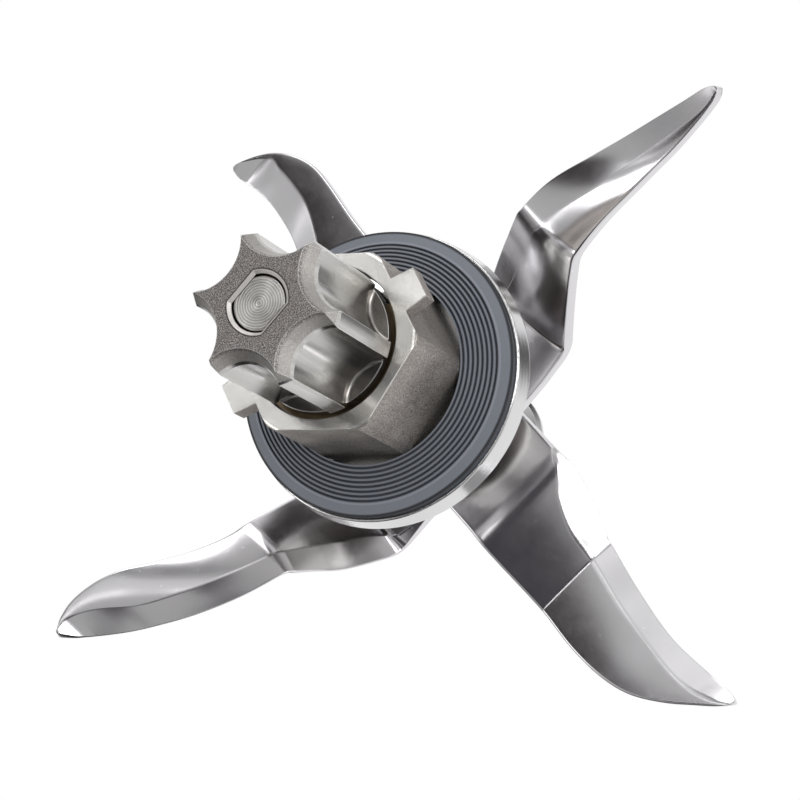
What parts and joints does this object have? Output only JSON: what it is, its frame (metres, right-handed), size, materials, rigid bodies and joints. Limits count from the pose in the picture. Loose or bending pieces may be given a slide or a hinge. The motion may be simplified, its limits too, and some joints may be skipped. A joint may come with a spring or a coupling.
{
  "type": "blender blade assembly",
  "caption": "Knife unit of a heated kitchen blender: fluted drive star, hexagonal bearing housing with lugs, sealing flange and crossed curved blades on a spinning shaft.",
  "frame": {"origin": "on the shaft's axis, at the plane where the seal ring's outer edge meets the jar", "axes": "+Z along the shaft from the coupling to the blades, +X along one falling blade's flat root"},
  "size_m": [0.1251, 0.1268, 0.0852],
  "materials": {
    "cast_steel": "bead-blasted investment casting, turned end face",
    "polished_steel": "turned and polished stainless steel",
    "blade_steel": "satin to mirror stainless sheet, white ground edges",
    "sintered_steel": "granular faces, polished flutes",
    "turned_steel": "fine turning rings",
    "bearing_steel": "ground and polished",
    "pressed_steel": "plain pressed sheet",
    "spring_steel": "dark oiled spring steel",
    "seal_rubber": "matte blue-grey silicone",
    "lip_rubber": "matte black"
  },
  "bodies": {
    "housing": {"bearing_housing": "cast_steel", "mounting_flange": "polished_steel", "seal_ring": "seal_rubber", "housing_circlip": "spring_steel", "shaft_seal_case": "pressed_steel", "shaft_seal_lip": "lip_rubber", "garter_spring": "spring_steel", "lower_outer_race": "bearing_steel", "lower_shield_below": "pressed_steel", "lower_shield_above": "pressed_steel", "upper_outer_race": "bearing_steel", "upper_shield_below": "pressed_steel", "upper_shield_above": "pressed_steel"},
    "rotor": {"drive_shaft": "turned_steel", "drive_star": "sintered_steel", "bearing_spacer": "turned_steel", "seal_sleeve": "turned_steel", "hub_seat": "polished_steel", "high_blade": "blade_steel", "low_blade": "blade_steel", "lock_washer": "pressed_steel", "grip_knob": "polished_steel", "lower_inner_race": "bearing_steel", "upper_inner_race": "bearing_steel"},
    "lower_ball_set": {"lower_cage": "pressed_steel", "lower_ball_1": "bearing_steel", "lower_ball_2": "bearing_steel", "lower_ball_3": "bearing_steel", "lower_ball_4": "bearing_steel", "lower_ball_5": "bearing_steel", "lower_ball_6": "bearing_steel", "lower_ball_7": "bearing_steel"},
    "upper_ball_set": {"upper_cage": "pressed_steel", "upper_ball_1": "bearing_steel", "upper_ball_2": "bearing_steel", "upper_ball_3": "bearing_steel", "upper_ball_4": "bearing_steel", "upper_ball_5": "bearing_steel", "upper_ball_6": "bearing_steel", "upper_ball_7": "bearing_steel"}
  },
  "joints": [
    {"name": "shaft_spin", "type": "hinge", "parent": "housing", "child": "rotor", "pos_m": [0, 0, 0], "axis": [0, 0, 1], "continuous": true},
    {"name": "lower_balls_roll", "type": "hinge", "parent": "housing", "child": "lower_ball_set", "pos_m": [0, 0, 0], "axis": [0, 0, 1], "continuous": true},
    {"name": "upper_balls_roll", "type": "hinge", "parent": "housing", "child": "upper_ball_set", "pos_m": [0, 0, 0], "axis": [0, 0, 1], "continuous": true}
  ]
}
